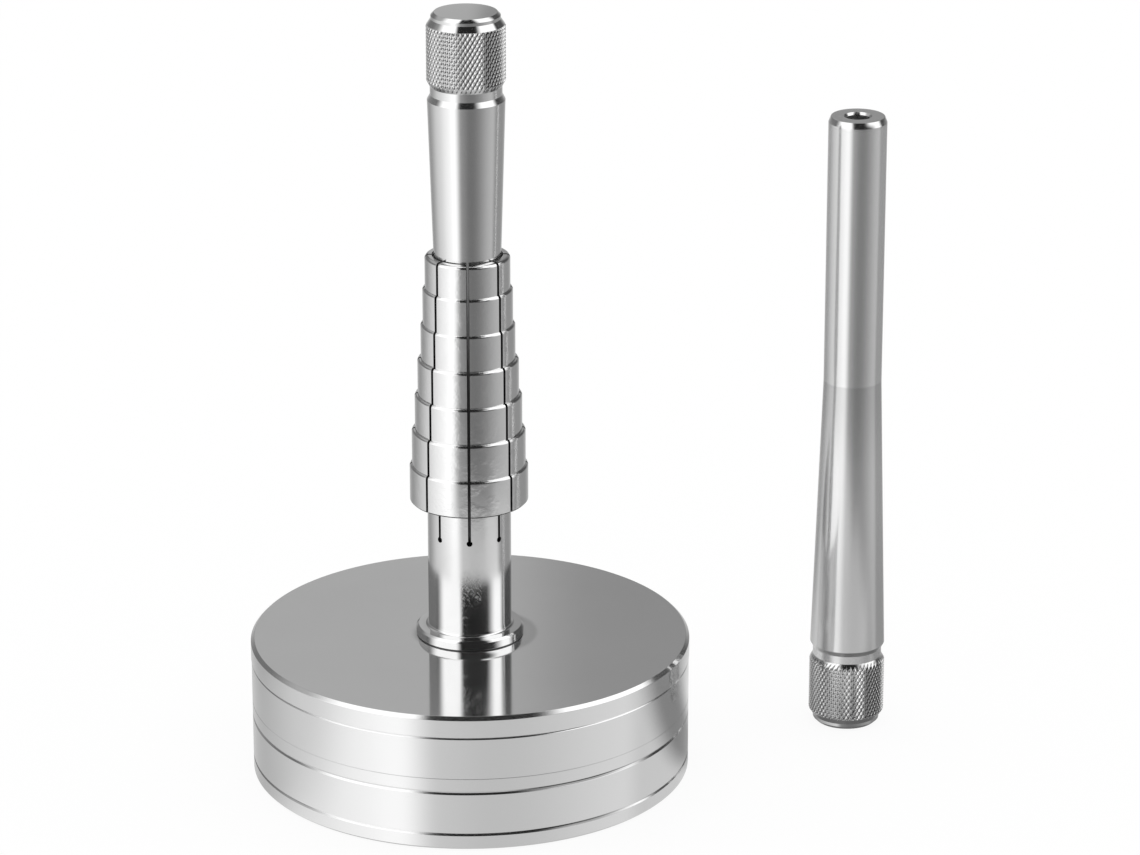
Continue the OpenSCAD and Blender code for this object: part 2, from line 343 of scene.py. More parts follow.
effects = {"dish": addDish, "grooveShade": addGrooveShade, "mottle": addMottle, "polish": addPolish, "scuffs": addScuffs,
           "hollowShade": addHollowShade, "mandrelShade": addShadeInMandrel, "shades": addShades, "inside": addShadedInside}


def makeSteel(name, look):
    material, graph = emptyMaterial(name)
    steel = Steel(graph, look)
    for effect, add in effects.items():
        if effect in look:
            add(steel, look[effect])
    # darkness 0 is the steel's own colour, half way from black to twice that colour
    factor = (steel.darkness + 0.5).maths("MINIMUM", 1.0).maths("MAXIMUM", 0.0)
    colour = graph.node("ShaderNodeMix", {"data_type": "RGBA"}, {
        "Factor": factor, "A": (0.0, 0.0, 0.0, 1), "B": tuple(2 * c for c in look["colour"]) + (1,)},
        output="Result")
    bump = graph.node("ShaderNodeBump", inputs={"Strength": 1.0, "Distance": 1.0, "Height": steel.height})
    surface = {"Base Color": colour, "Metallic": 1.0, "Normal": bump}
    shader = graph.node("ShaderNodeBsdfPrincipled", inputs=dict(surface, Roughness=steel.rough))
    if "haze" in look:  # a wide faint second reflection, as on buffed steel
        haze = look["haze"]
        share = haze["share"]
        if "below" in haze:  # the end of the rod keeps its polish
            share = (1 - steel.level(haze["below"])) * share
        hazy = graph.node("ShaderNodeBsdfPrincipled", inputs=dict(surface, Roughness=haze["roughness"]))
        shader = graph.node("ShaderNodeMixShader", inputs={"Fac": share, 1: shader, 2: hazy})
    graph.node("ShaderNodeOutputMaterial", inputs={"Surface": shader})
    return material


def makeRubber(name, look):
    material, graph = emptyMaterial(name)
    place = graph.node("ShaderNodeTexCoord", output="Object")
    grain = graph.node("ShaderNodeTexNoise", inputs={
        "Vector": place, "Scale": look["grainScale"], "Detail": look["grainDetail"]})
    colour = graph.node("ShaderNodeMix", {"data_type": "RGBA"}, {
        "Factor": grain, "A": look["dark"] + (1,), "B": look["light"] + (1,)}, output="Result")
    bump = graph.node("ShaderNodeBump", inputs={
        "Strength": look["grainStrength"], "Distance": look["grainDepth"] * mm, "Height": grain})
    shader = graph.node("ShaderNodeBsdfPrincipled", inputs={
        "Base Color": colour, "Roughness": look["roughness"] + (grain - 0.5) * look["grainRoughness"],
        "Normal": bump})
    graph.node("ShaderNodeOutputMaterial", inputs={"Surface": shader})
    return material


# heights, widths and depths are in mm, angles in degrees from the front, + to the right
chrome = (0.86, 0.86, 0.86)
spareLow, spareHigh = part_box("spare_rod")
spareCentre = (spareLow + spareHigh) / 2
secondPlace = {"centre": (-spareCentre.x, -spareCentre.y, 0)}
rodLook = {
    "colour": chrome, "roughness": 0.16, "lineRoughness": 0.03, "smudgeRoughness": 0.04,
    "linePitch": 0.4, "lineDepth": 0.0003, "cloudiness": 0.02,
    "mottle": {"scale": 700.0, "detail": 3.0, "patches": (0.42, 0.6), "above": (-1, 0), "depth": 0.002,
               "roughness": 0.03}}
capLook = {
    "colour": (0.84, 0.84, 0.84), "roughness": 0.1, "lineRoughness": 0.03, "smudgeRoughness": 0.03,
    "linePitch": 0.3, "lineDepth": 0.0006, "cloudiness": 0.02}
# painted shade in the hollows of the knurl
hollowShadeLook = {"depths": (0.48, 0.85), "amount": 0.48, "roughness": 0.15}
finishes = {
    "baseMirror": {
        "colour": chrome, "roughness": 0.08, "lineRoughness": 0.01, "smudgeRoughness": 0.01,
        "linePitch": 0.5, "lineDepth": 0.0001, "cloudiness": 0.05, "smudgeScale": 30.0,
        "haze": {"share": 0.05, "roughness": 0.4},
        "dish": {"inner": 11, "outer": 14.5, "slope": 0.16}},
    "baseSatin": {
        "colour": chrome, "roughness": 0.14, "lineRoughness": 0.05, "smudgeRoughness": 0.02,
        "linePitch": 0.35, "lineDepth": 0.0012, "cloudiness": 0.01,
        # painted shade in two of the lines round the base's side, on the front right
        "grooveShade": {"heights": (3.5, 12.5), "reach": (0.25, 0.42), "from": (8, 20), "to": (32, 52),
                  "amount": 0.33}},
    "mandrelSteel": {
        "colour": chrome, "roughness": 0.14, "lineRoughness": 0.03, "smudgeRoughness": 0.06,
        "linePitch": 0.4, "lineDepth": 0.0003, "cloudiness": 0.03, "smudgeScale": 260.0,
        "mottle": {"scale": 1200.0, "detail": 3.0, "patches": (0.42, 0.6), "above": (50, 60), "depth": 0.022,
                   "roughness": 0.08},
        "polish": {"below": (33, 43), "share": 0.72},
        "scuffs": {"low": (30, 32), "dense": (36, 40), "high": (40, 47), "sides": ((-15, -10), (12, 18)),
                   "thin": 0.6, "thinFrom": (-4, 4), "angle": 38, "pitch": 0.22, "length": 1.32,
                   "detail": 2.0, "marks": (0.56, 0.62), "roughness": 0.26},
        # painted shade in the slots, bores and corners
        "inside": {"amount": 0.41, "roughness": 0.4}},
    # painted shade on the rod where it stands in the mandrel
    "firstRodSteel": dict(rodLook, mandrelShade={"below": (80, 112), "amount": 0.4, "roughness": 0.2}),
    "secondRodSteel": dict(
        rodLook, **secondPlace,
        haze={"share": 0.25, "roughness": 0.5, "below": (130.8, 131.1)},
        # painted shade at the foot of the taper and towards the cap
        shades=({"from": (56, 75.8), "to": (75.9, 76.1), "amount": 0.07},
                {"from": (-2, -1), "to": (28, 52), "amount": 0.04})),
    "firstCapSteel": dict(capLook, hollowShade=hollowShadeLook),
    "secondCapSteel": dict(capLook, **secondPlace, hollowShade=dict(hollowShadeLook, amount=0.44)),
    "fastenerZinc": {
        "colour": (0.3, 0.3, 0.32), "roughness": 0.35, "lineRoughness": 0.06, "smudgeRoughness": 0.1,
        "linePitch": 0.3, "lineDepth": 0.0006, "cloudiness": 0.05},
}
steels = {name: makeSteel(name, look) for name, look in finishes.items()}
padRubber = makeRubber("padRubber", {
    "dark": (0.02, 0.02, 0.02), "light": (0.05, 0.05, 0.05), "roughness": 0.7, "grainScale": 2500.0,
    "grainDetail": 5.0, "grainStrength": 0.4, "grainDepth": 0.05, "grainRoughness": 0.2})
print("finishes made:", len(steels) + 1)


# The base

def heights(node):  # foot and top of a node, in mm
    low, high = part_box(node)
    return low.z / mm, high.z / mm


def reach(node):  # radius of a round node, in mm
    low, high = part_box(node)
    return (high.x - low.x) / 2 / mm


base = {"columns": 256, "bore": 8.0, "topChamfer": 0.7, "topSeam": 0.225, "bottomSeam": 0.3, "lip": 0.1,
        "grooveDrop": 16.3, "grooveDepth": 0.25, "grooveWidth": 0.8, "hairlineDrop": 13.3, "hairline": 0.16,
        "recessMargin": 1.0, "edge": 0.1, "fineEdge": 0.04}


def makeBase(s):
    topLow, topHigh = heights("base_top_plate")
    bodyLow, bodyHigh = heights("base_body")
    topR, bodyR = reach("base_top_plate"), reach("base_body")
    bore = s["bore"]
    recessR, recessTop = reach("mandrel_washer") + s["recessMargin"], heights("mandrel_washer")[1]
    seamR = topR - s["lip"] - s["topSeam"]
    plate = turned([
        (bore, topLow), (seamR, topLow), (topR, topLow + s["topSeam"], s["edge"]),
        (topR, topHigh - s["topChamfer"], s["edge"]), (topR - s["topChamfer"], topHigh, s["edge"]),
        (bore, topHigh)], s["columns"], ring=True)
    piece(withShading(meshObject("baseTopPlate", plate)), steels["baseMirror"],
          "base", "base_mirror", "base_top_plate")
    groove, hair = topHigh - s["grooveDrop"], topHigh - s["hairlineDrop"]
    half = s["grooveWidth"] / 2
    body = turned([
        (recessR, bodyLow), (bodyR - s["bottomSeam"], bodyLow),
        (bodyR, bodyLow + s["bottomSeam"], s["fineEdge"]),
        (bodyR, groove - half, s["edge"]), (bodyR - s["grooveDepth"], groove),
        (bodyR, groove + half, s["edge"]), (bodyR, hair - s["hairline"] / 2), (bodyR - s["hairline"], hair),
        (bodyR, hair + s["hairline"] / 2),
        (bodyR, bodyHigh - s["topSeam"], s["fineEdge"]), (bodyR - s["topSeam"], bodyHigh),
        (bore, bodyHigh), (bore, recessTop), (recessR, recessTop)], s["columns"], ring=True)
    piece(withShading(meshObject("baseBody", body)), steels["baseSatin"], "base", "base_satin", "base_body")


makeBase(base)
print("base made")


# The mandrel: a sleeve, and eight jaws on top of it

mandrel = {"jawColumns": 32, "flangeHeight": 2.2, "flangeChamfer": 0.45, "flangeFoot": 0.3, "postFillet": 0.6,
           "postR": 8.5, "spigotR": 8.0, "spigotChamfer": 0.5, "chamfer": 0.35, "shadeLineWidth": 0.2,
           "ledgeRound": 0.7, "rimRound": 0.8, "edge": 0.08, "fineEdge": 0.04, "roundSteps": 4,
           "slotWidth": 0.6, "reliefHole": 1.2, "reliefSteps": 8, "merge": 0.0001,
           "bore": 6.05, "jawBore": 6.306, "gap": 0.02, "landShare": 0.07}
seats = sorted((m for m in frame["record"]["mounts"] if m["name"].startswith("ring_seat")),
               key=lambda m: m["pos_m"][2])
steps = [{"radius": m["dims"]["r_mm"],
          "low": m["pos_m"][2] / mm - m["dims"]["length_mm"] / 2,
          "high": m["pos_m"][2] / mm + m["dims"]["length_mm"] / 2} for m in seats]


def makeSleeve(s):
    low, high = heights("mandrel_sleeve")
    baseTop = heights("base_top_plate")[1]
    flangeR = reach("mandrel_sleeve")
    postR = s["postR"]
    holeR = s["reliefHole"] / 2
    shut = high - holeR  # the relief holes begin here
    flangeTop = baseTop + s["flangeHeight"]
    count = len(jawNames)
    columns = count * s["jawColumns"]
    spigotR = s["spigotR"]
    bm = turned([
        (s["bore"], shut), (s["bore"], low), (spigotR - s["spigotChamfer"], low),
        (spigotR, low + s["spigotChamfer"]), (spigotR, baseTop), (flangeR - s["flangeFoot"], baseTop),
        (flangeR, baseTop + s["flangeFoot"], s["edge"]), (flangeR, flangeTop - s["flangeChamfer"], s["edge"]),
        (flangeR - s["flangeChamfer"], flangeTop, s["edge"]), (postR, flangeTop, s["postFillet"]),
        (postR, shut)], columns)
    layer = bm.faces.layers.float.new("inside")
    for face in bm.faces:  # painted shade in the corner under the flange
        face[layer] = float(0 < face.calc_center_median().z / mm - baseTop < s["flangeFoot"])
    quarter = [math.pi / 2 * i / s["reliefSteps"] for i in range(s["reliefSteps"] + 1)]
    for k in range(count):  # a wall beside the lower quarters of two relief holes
        sector(bm, layer, s, [(postR, s["bore"], high - holeR * math.cos(t), holeR * math.sin(t))
                              for t in quarter], k * math.tau / count)
    bmesh.ops.remove_doubles(bm, verts=bm.verts, dist=s["merge"] * mm)
    bmesh.ops.recalc_face_normals(bm, faces=bm.faces)
    piece(withShading(meshObject("mandrelSleeve", bm)), steels["mandrelSteel"],
          "base", "mandrel_steel", "mandrel_sleeve")


def sector(bm, layer, s, rows, start):
    # a wall between two slots, from rows of (outer radius, inner radius, height, half gap)
    pitch = math.tau / len(jawNames)
    n = s["jawColumns"]
    loops = []
    for outer, inner, z, half in rows:
        loop = []
        for r, order in ((outer, range(n + 1)), (inner, range(n, -1, -1))):
            trim = math.asin(half / r)
            for c in order:
                a = start + trim + (pitch - 2 * trim) * c / n
                loop.append(bm.verts.new((r * mm * math.cos(a), r * mm * math.sin(a), z * mm)))
        loops.append(loop)
    size = len(loops[0])
    for low, high in zip(loops, loops[1:]):
        for i in range(size):
            j = (i + 1) % size
            # the inner wall gets painted shade
            bm.faces.new((low[i], low[j], high[j], high[i]))[layer] = float(i >= n)
    for c in range(n):
        bm.faces.new((loops[-1][c], loops[-1][c + 1], loops[-1][size - 2 - c], loops[-1][size - 1 - c]))


def jawOutline(s):
    # outer wall from the foot up, with (radius, height, rounding)
    c, e = s["chamfer"], s["edge"]
    lowest = steps[0]
    under = lowest["low"] - c
    points = [(s["postR"], under - s["shadeLineWidth"]), (s["postR"], under), (lowest["radius"] - c, under, e),
              (lowest["radius"], lowest["low"], e)]
    for step, above in zip(steps, steps[1:]):
        points += [(step["radius"], step["high"], s["ledgeRound"]), (step["radius"] - c, step["high"] + c, e),
                   (above["radius"], above["low"], s["fineEdge"])]
    points.append((steps[-1]["radius"], heights("jaw_1")[1], s["rimRound"]))
    return points


def makeJaw(s):
    foot, top = heights("jaw_1")
    holeR, slot = s["reliefHole"] / 2, s["slotWidth"] / 2
    holeTop = foot + math.sqrt(holeR ** 2 - slot ** 2)
    land = top - s["landShare"] * (top - foot)

    def plungerR(z):
        return s["rodR"] + s["slope"] * max(0.0, z - s["taperFoot"])

    mouth = plungerR(top) + s["gap"] + s["chamfer"]
    outer = rounded([(s["postR"], holeTop)] + jawOutline(s) + [(mouth, top)], s["roundSteps"])
    bore = [(plungerR(top - s["chamfer"]) + s["gap"], top - s["chamfer"]), (plungerR(land) + s["gap"], land),
            (s["jawBore"], s["taperFoot"]), (s["jawBore"], holeTop)]
    bm = bmesh.new()
    layer = bm.faces.layers.float.new("inside")
    pitch = math.tau / len(jawNames)
    n = s["jawColumns"]

    def column(r, z, half):
        trim = math.asin(half / r) - pitch / 2
        return [bm.verts.new((r * mm * math.cos(a), r * mm * math.sin(a), z * mm))
                for a in (trim - 2 * trim * c / n for c in range(n + 1))]

    # the arc of the relief hole, from the foot to where the slot begins
    lastTurn = math.acos(slot / holeR)
    arc = [lastTurn * i / s["reliefSteps"] for i in range(s["reliefSteps"] + 1)]
    outerArc = [column(s["postR"], foot + holeR * math.sin(t), holeR * math.cos(t)) for t in arc]
    innerArc = [column(s["jawBore"], foot + holeR * math.sin(t), holeR * math.cos(t)) for t in arc]
    wall = [column(r, z, slot) for r, z in outer[1:]]
    inside = [column(r, z, slot) for r, z in bore[:-1]]
    loop = outerArc + wall + inside + innerArc[::-1]
    shown = len(outerArc) + len(wall) - 1
    for i, (a, b) in enumerate(zip(loop, loop[1:] + loop[:1])):
        # painted shade also sits in the corner under the lowest step
        height = (a[0].co.z + b[0].co.z) / 2 / mm - steps[0]["low"] + s["chamfer"]
        corner = -s["shadeLineWidth"] < height < s["chamfer"] and i < shown
        for c in range(n):
            bm.faces.new((a[c], a[c + 1], b[c + 1], b[c]))[layer] = float(i >= shown or corner)
    # the slot walls get painted shade
    for end in (0, n):
        for i in range(s["reliefSteps"]):
            bm.faces.new((outerArc[i][end], outerArc[i + 1][end],
                          innerArc[i + 1][end], innerArc[i][end]))[layer] = 1.0
        bm.faces.new([ring[end] for ring in [outerArc[-1]] + wall + inside + [innerArc[-1]]])[layer] = 1.0
    bmesh.ops.recalc_face_normals(bm, faces=bm.faces)
    return bm


jawNames = sorted(n for n in frame["nodes"] if n.startswith("jaw_"))
rodLow, rodHigh = heights("plunger_rod")
plunger = {"columns": 192, "rodR": 6.0, "taperLength": 58.0, "shoulder": 1.1, "neckHeight": 1.7, "neckR": 7.2,
           "tailR": 5.5, "tailChamfer": 1.2, "holeR": 2.4, "holeDepth": 14.0, "sinkR": 2.9,
           "studR": 4.0, "studLength": 9.0, "edge": 0.1, "fineEdge": 0.05, "sinkEdge": 0.08,
           "tailEdge": 0.15, "tailRound": 0.3}
plunger["taperR"] = reach("plunger_rod")
plunger["taperEnd"] = rodHigh - plunger["studLength"] - plunger["neckHeight"] - plunger["shoulder"]
plunger["taperFoot"] = plunger["taperEnd"] - plunger["taperLength"]
mandrel.update(rodR=plunger["rodR"], taperFoot=plunger["taperFoot"],
               slope=(plunger["taperR"] - plunger["rodR"]) / plunger["taperLength"])

makeSleeve(mandrel)

# each jaw is the same piece turned to its place
turnGraph, given = geometryTree("jawPlace", [
    ("Geometry", "NodeSocketGeometry"), ("Angle", "NodeSocketFloat"), ("Material", "NodeSocketMaterial")])
spin = turnGraph.node("ShaderNodeCombineXYZ", inputs={"Z": given.output("Angle")})
placed = turnGraph.node("GeometryNodeTransform", inputs={
    "Geometry": given.output("Geometry"), "Rotation": spin})
jawTree = closeTree(turnGraph, placed, given.output("Material"))
jawModel = withShading(meshObject("jawModel", makeJaw(mandrel)))
for number, node in enumerate(jawNames):
    jaw = bpy.data.objects.new("jaw" + node.split("_")[1], jawModel.data.copy())
    scene.collection.objects.link(jaw)
    dressed(jaw, jawTree, {"Angle": math.tau * (number + 0.5) / len(jawNames),
                           "Material": steels["mandrelSteel"]})
    piece(jaw, steels["mandrelSteel"], node, "mandrel_steel", node)
bpy.data.objects.remove(jawModel)
print("mandrel made:", len(jawNames), "jaws")


# The plungers

cap = {"columnsPerTooth": 6, "teeth": 51, "pitch": 1.54, "knurlDepth": 0.32, "crossDepth": 0.17,
       "tipFlat": 0.2, "runOut": 0.2, "inset": 0.3, "slack": 0.01, "mainShadeShare": 0.7,
       "crossShadeShare": 0.3, "underChamfer": 1.3, "underShares": (0, 0.33, 0.67), "band": 11.0,
       "chamfer": 1.4, "chamferShares": (0, 0.1, 0.2, 0.3, 0.45, 1), "land": 1.3, "faceR": 6.95,
       "faceChamfer": 0.65, "socketDepth": 9.5, "edge": 0.08, "sharpFrom": 20}


def rodOutline(s, tail):
    # heights above the tail
    end, foot = s["taperEnd"] - tail, s["taperFoot"] - tail
    neck = end + s["shoulder"]
    seat = neck + s["neckHeight"]
    return [(0, s["holeDepth"]), (s["holeR"], s["holeDepth"]),
            (s["holeR"], s["sinkR"] - s["holeR"], s["fineEdge"]), (s["sinkR"], 0, s["sinkEdge"]),
            (s["tailR"], 0, s["tailEdge"]), (s["rodR"], s["tailChamfer"], s["tailRound"]), (s["rodR"], foot),
            (s["taperR"], end, s["edge"]), (s["neckR"], neck, s["fineEdge"]), (s["neckR"], seat),
            (s["studR"], seat), (s["studR"], seat + s["studLength"]), (0, seat + s["studLength"])]


def knurlTree(s):
    sizes = [(name, "NodeSocketFloat") for name in
             ("Teeth", "Pitch", "Start", "Tip radius", "Depth", "Cross depth", "Tip flat")]
    graph, given = geometryTree("knurl", [("Geometry", "NodeSocketGeometry")] + sizes +
                                [("Material", "NodeSocketMaterial")])
    place = graph.node("GeometryNodeInputPosition")
    x = graph.node("ShaderNodeSeparateXYZ", inputs={"Vector": place})
    y, z = x.output("Y"), x.output("Z")
    radius = (x * x + y * y).maths("SQRT")
    turn = x.maths("ARCTAN2", y) * given.output("Teeth") / math.tau
    rise = (z - given.output("Start")) / given.output("Pitch")
    # one family of grooves is cut deeper than the one that crosses it
    grooves = [(1 - way.maths("PINGPONG", 0.5) * 2 / (1 - given.output("Tip flat"))).maths("MAXIMUM", 0.0)
               * given.output(depth) for way, depth in ((turn + rise, "Depth"), (turn - rise, "Cross depth"))]
    groove = grooves[0].maths("MAXIMUM", grooves[1])
    # the painted shade is darkest where the two families cross
    floor = (grooves[0] * s["mainShadeShare"] / given.output("Depth")
             + grooves[1] * s["crossShadeShare"] / given.output("Cross depth"))
    newRadius = radius.maths("MINIMUM", given.output("Tip radius") - groove)
    scale = newRadius / radius.maths("MAXIMUM", tiny)
    moved = graph.node("ShaderNodeCombineXYZ", inputs={"X": x * scale, "Y": y * scale, "Z": z})
    inBand = graph.node("GeometryNodeInputNamedAttribute", {"data_type": "FLOAT"}, {"Name": "inBand"},
                        output="Attribute")
    chosen = inBand.maths("GREATER_THAN", 0.5)
    kept = graph.node("GeometryNodeStoreNamedAttribute", {"data_type": "FLOAT", "domain": "POINT"},
                      {"Geometry": given.output("Geometry"), "Name": "knurlDepth", "Value": floor * chosen})
    shaped = graph.node("GeometryNodeSetPosition", inputs={
        "Geometry": kept, "Selection": chosen, "Position": moved})
    return closeTree(graph, shaped, given.output("Material"))


def capMesh(s, p):
    # heights above the foot of the cap; the knurled band and its two chamfers get a fine grid
    columns = s["teeth"] * s["columnsPerTooth"]
    row = s["pitch"] / s["columnsPerTooth"]
    bandLow, bandHigh = s["underChamfer"], s["underChamfer"] + s["band"]
    landAt = bandHigh + s["chamfer"]
    top = landAt + s["land"]
    capR = reach("striking_cap")
    grid = [(p["neckR"] + (capR - p["neckR"]) * t, bandLow * t) for t in s["underShares"]]
    grid += [(capR, bandLow + i * row) for i in range(int(s["band"] / row) + 1)]
    grid += [(capR + (s["faceR"] - capR) * t, bandHigh + s["chamfer"] * t) for t in s["chamferShares"]]
    bm = turned([(0, s["socketDepth"]), (p["studR"], s["socketDepth"]), (p["studR"], 0)] + grid +
                [(s["faceR"], top - s["faceChamfer"], s["edge"]),
                 (s["faceR"] - s["faceChamfer"], top, s["edge"]), (0, top)], columns)
    layer = bm.verts.layers.float.new("inBand")

    def outside(vert, height):  # on the skin of the cap, below a height
        return vert.co.xy.length > (p["neckR"] - s["inset"]) * mm and vert.co.z < height * mm

    bmesh.ops.poke(bm, faces=[f for f in bm.faces if all(outside(v, landAt + s["slack"]) for v in f.verts)])
    for v in bm.verts:
        v[layer] = float(outside(v, bandHigh + s["runOut"]))
    return bm


def makePlunger(names, bodyName, nodes, materials, place):
    tail = rodLow
    rod = withShading(meshObject(names[0], turned(rodOutline(plunger, tail), plunger["columns"])))
    rod.data.transform(place)
    piece(rod, materials[0], bodyName, "plunger_steel", nodes[0])
    cover = meshObject(names[1], capMesh(cap, plunger))
    dressed(cover, knurled, {"Teeth": float(cap["teeth"]), "Pitch": cap["pitch"] * mm,
                             "Start": cap["underChamfer"] * mm, "Tip radius": reach("striking_cap") * mm,
                             "Depth": cap["knurlDepth"] * mm, "Cross depth": cap["crossDepth"] * mm,
                             "Tip flat": cap["tipFlat"], "Material": materials[1]})
    withShading(cover, cap["sharpFrom"])
    seat = plunger["taperEnd"] + plunger["shoulder"] + plunger["neckHeight"] - tail
    cover.data.transform(place @ Matrix.Translation((0, 0, seat * mm)))
    piece(cover, materials[1], bodyName, "cap_steel", nodes[1])


knurled = knurlTree(cap)
inMandrel = Matrix.Translation((0, 0, rodLow * mm))
makePlunger(("plungerRod", "strikingCap"), "plunger", ("plunger_rod", "striking_cap"),
            (steels["firstRodSteel"], steels["firstCapSteel"]), inMandrel)
onItsCap = (Matrix.Translation((spareCentre.x, spareCentre.y, spareHigh.z))
            @ Matrix.Rotation(math.pi, 4, "X"))
makePlunger(("secondRod", "secondCap"), "spare_plunger", ("spare_rod", "spare_cap"),
            (steels["secondRodSteel"], steels["secondCapSteel"]), onItsCap)
print("plungers made")


# CAD nodes that keep their own shape

def paint(node, material):
    obj = frame["nodes"][node]
    if not obj.material_slots:
        obj.data.materials.append(material)
    for slot in obj.material_slots:
        slot.material = material


painted = {"base_bottom_plate": steels["baseSatin"], "foot_pad": padRubber,
           "bottom_screws": steels["fastenerZinc"], "mandrel_nut": steels["fastenerZinc"],
           "mandrel_washer": steels["fastenerZinc"]}
for node, material in painted.items():
    paint(node, material)
print("CAD nodes painted:", len(painted))


# The studio

studio = {
    # the two patterns of light meet at the horizon; this is the one below it, as the upright walls show it
    "horizon": (-8, 12),
    "lowAmbient": 0.165, "lowBehind": {"edge": (80, 110), "strength": 0.135},
    "leftBox": {"outer": (-150, -43), "inner": (-38, -16), "strength": 0.93},
    "leftTail": {"outer": (-60, -40), "inner": (-20, 10), "strength": 0.12},
    "rightGlow": {"inner": (14, 90), "outer": (86, 104), "strength": 0.335},
    "deep": {"edge": (-48, -30), "loss": 0.75},
    "backGlow": {"edge": (138, 180), "strength": 0.32},
    # light from above it; the boxes' edges move as they rise through these elevations
    "climb": (20, 67), "firstClimb": (20, 36), "dipClimb": (20, 32), "rightClimb": (38, 62),
    "highAmbient": 0.02,
    "highLeftBox": {"outer": (-106, -74), "inner": (-32, -17), "strength": 1.25, "shift": (-18, -16)},
    "highRightBox": {"inner": (48, 78), "outer": (88, 108), "strength": 1.25, "shift": (26, 22), "dip": 24},
    "leftBehind": {"from": (-176, -160), "to": (-112, -88), "strength": 0.16, "above": 0.26},
    "rightBehind": {"from": (104, 124), "to": (166, 178), "strength": 0.06},
    "rightEdge": {"from": (140, 165), "to": (168, 178), "strength": 0.14},
    "highBack": {"edge": (166, 177), "strength": 0.425, "rightLoss": 0.15, "rightFrom": (0.003, 0.026)},
    "backLoss": {"turn": (120, 150), "above": (34, 54)},
    "sky": {"edge": (135, 165), "above": (44, 58), "strength": 0.3},
    "ceiling": {"edge": (76, 86), "strength": 0.8},
    # the bench: what the polished pieces see of it, and how little shade it shows
    "floorRadius": 1.6, "floorSides": 96, "floorDrop": 0.00002,
    # near the object the bench glows to polished pieces, a painted light
    "floorReach": (0.095, 0.155), "floorShare": 0.5, "floorCentre": -0.045, "floorGlow": 0.98,
    "floorFurther": {"turn": ((35, 55), (80, 100)), "by": 0.03},
    # the glow is dimmer to the left, and to the right towards the spare with painted shade
    "floorLeft": {"from": (-170, -135), "to": (-75, -42), "loss": 0.33},
    "floorRight": {"from": (76, 94), "to": (104, 124), "loss": 0.8},
    "shadowShare": 0.1,
}


white = (1, 1, 1, 1)


def shinyRays(graph):
    rays = graph.node("ShaderNodeLightPath", output="Is Glossy Ray")
    return rays.maths("MAXIMUM", rays.output("Is Transmission Ray"))


def makeWorld(s):
    world = bpy.data.worlds.new("studio")
    scene.world = world
    world.use_nodes = True
    world.cycles.sampling_method = "NONE"
    graph = Graph(world.node_tree)
    direction = graph.node("ShaderNodeTexCoord", output="Generated")
    x = graph.node("ShaderNodeSeparateXYZ", inputs={"Vector": direction})
    y, z = x.output("Y"), x.output("Z")
    azimuth = x.maths("ARCTAN2", y * -1) * degrees  # 0 in front of the object, + to the right
    elevation = z.maths("ARCSINE") * degrees
    away = azimuth.maths("ABSOLUTE")
    climb, firstClimb = elevation.rise(*s["climb"]), elevation.rise(*s["firstClimb"])

    left, right, behind = s["leftBox"], s["rightGlow"], s["lowBehind"]
    low = (s["lowAmbient"]
           + band(azimuth, left["outer"], left["inner"]) * left["strength"]
           + band(azimuth, s["leftTail"]["outer"], s["leftTail"]["inner"]) * s["leftTail"]["strength"]
           + band(azimuth, right["inner"], right["outer"]) * right["strength"]
           + away.rise(*behind["edge"]) * behind["strength"]
           + away.rise(*s["backGlow"]["edge"]) * s["backGlow"]["strength"])
    low = low * (1 - (1 - elevation.rise(*s["deep"]["edge"])) * s["deep"]["loss"])

    left, right, back = s["highLeftBox"], s["highRightBox"], s["highBack"]
    leftOut, leftIn = azimuth - climb * left["shift"][0], azimuth - climb * left["shift"][1]
    rightIn = (azimuth + elevation.rise(*s["dipClimb"]) * right["dip"]
               - elevation.rise(*s["rightClimb"]) * right["shift"][0])
    rightOut = azimuth - firstClimb * right["shift"][1]
    leftBehind, rightBehind, rightEdge = s["leftBehind"], s["rightBehind"], s["rightEdge"]
    backStrength = back["strength"] - x.rise(*back["rightFrom"]) * back["rightLoss"]
    high = (s["highAmbient"]
            + leftOut.rise(*left["outer"]) * (1 - leftIn.rise(*left["inner"])) * left["strength"]
            + rightIn.rise(*right["inner"]) * (1 - rightOut.rise(*right["outer"])) * right["strength"]
            + band(azimuth, leftBehind["from"], leftBehind["to"])
            * (leftBehind["strength"] + firstClimb * leftBehind["above"])
            + band(azimuth, rightBehind["from"], rightBehind["to"]) * rightBehind["strength"]
            + band(azimuth, rightEdge["from"], rightEdge["to"]) * rightEdge["strength"]
            + away.rise(*back["edge"]) * backStrength)
    high = high * (1 - away.rise(*s["backLoss"]["turn"]) * elevation.rise(*s["backLoss"]["above"]))
    high = high + away.rise(*s["sky"]["edge"]) * elevation.rise(*s["sky"]["above"]) * s["sky"]["strength"]
    share = elevation.rise(*s["horizon"])
    pattern = low * (1 - share) + high * share
    lid = elevation.rise(*s["ceiling"]["edge"])
    pattern = pattern * (1 - lid) + lid * s["ceiling"]["strength"]

    # mirrored, the world shows the pattern; seen straight on and by the shade on the bench, it is white
    shiny = shinyRays(graph)
    background = graph.node("ShaderNodeBackground", inputs={
        "Color": white, "Strength": shiny * pattern + (1 - shiny)})
    graph.node("ShaderNodeOutputWorld", inputs={"Surface": background})


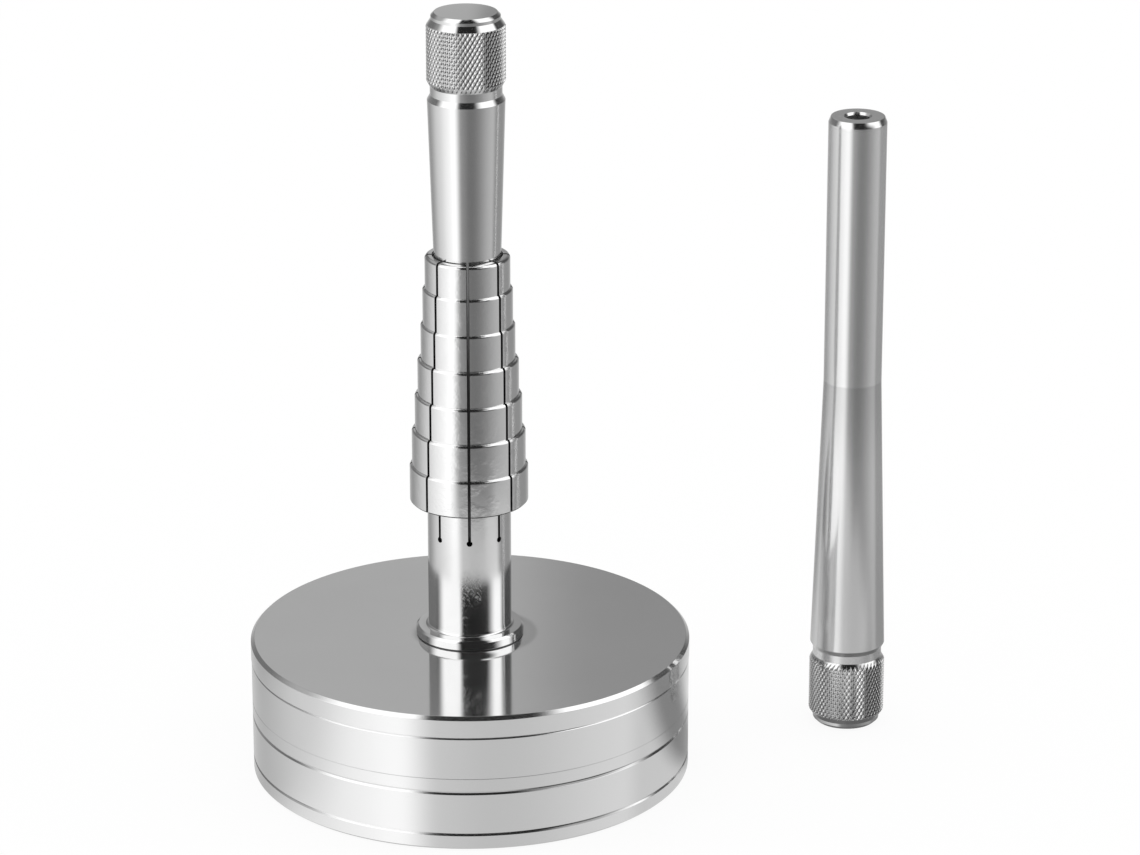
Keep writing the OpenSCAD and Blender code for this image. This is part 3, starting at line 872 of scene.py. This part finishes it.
def makeFloor(s):
    bm = bmesh.new()
    bmesh.ops.create_circle(bm, cap_ends=True, segments=s["floorSides"], radius=s["floorRadius"])
    floor = meshObject("floor", bm)
    floor.location.z = -s["floorDrop"]
    material, graph = emptyMaterial("paleFloor")
    place = graph.node("ShaderNodeTexCoord", output="Object")
    x = graph.node("ShaderNodeSeparateXYZ", inputs={"Vector": place})
    y = x.output("Y") - s["floorCentre"]
    azimuth = x.maths("ARCTAN2", x.output("Y") * -1) * degrees
    further = band(azimuth, *s["floorFurther"]["turn"]) * s["floorFurther"]["by"]
    near = 1 - ((x * x + y * y).maths("SQRT") - further).rise(*s["floorReach"])
    loss = sum(band(azimuth, side["from"], side["to"]) * side["loss"]
               for side in (s["floorLeft"], s["floorRight"]))
    bright = graph.node("ShaderNodeEmission", inputs={"Color": white, "Strength": 1.0})
    paper = graph.node("ShaderNodeBsdfDiffuse", inputs={"Color": white})
    # a painted light: the bench glows where polished pieces see it, less in the side bands
    glow = graph.node("ShaderNodeEmission", inputs={"Color": white, "Strength": s["floorGlow"] - loss})
    clear = graph.node("ShaderNodeBsdfTransparent")
    shown = graph.node("ShaderNodeMixShader", inputs={"Fac": s["shadowShare"], 1: bright, 2: paper})
    mirrored = graph.node("ShaderNodeMixShader", inputs={"Fac": near * s["floorShare"], 1: clear, 2: glow})
    surface = graph.node("ShaderNodeMixShader", inputs={"Fac": shinyRays(graph), 1: shown, 2: mirrored})
    # from under the bench it isn't seen
    below = graph.node("ShaderNodeNewGeometry", output="Backfacing")
    surface = graph.node("ShaderNodeMixShader", inputs={"Fac": below, 1: surface, 2: clear})
    graph.node("ShaderNodeOutputMaterial", inputs={"Surface": surface})
    floor.data.materials.append(material)


makeWorld(studio)
makeFloor(studio)
scene.view_settings.view_transform = "Standard"

camera = {"place": (0.0, -0.91628, 0.40087), "down": 19.669, "right": 1.2843, "lens": 151.58, "sensor": 36.0,
          "near": 0.05, "far": 20.0}
eye = bpy.data.objects.new("camera", bpy.data.cameras.new("camera"))
eye.data.lens, eye.data.sensor_width = camera["lens"], camera["sensor"]
eye.data.clip_start, eye.data.clip_end = camera["near"], camera["far"]
eye.location = camera["place"]
eye.rotation_euler = (math.radians(90 - camera["down"]), 0, math.radians(-camera["right"]))
scene.collection.objects.link(eye)
scene.camera = eye
print("studio and camera made")
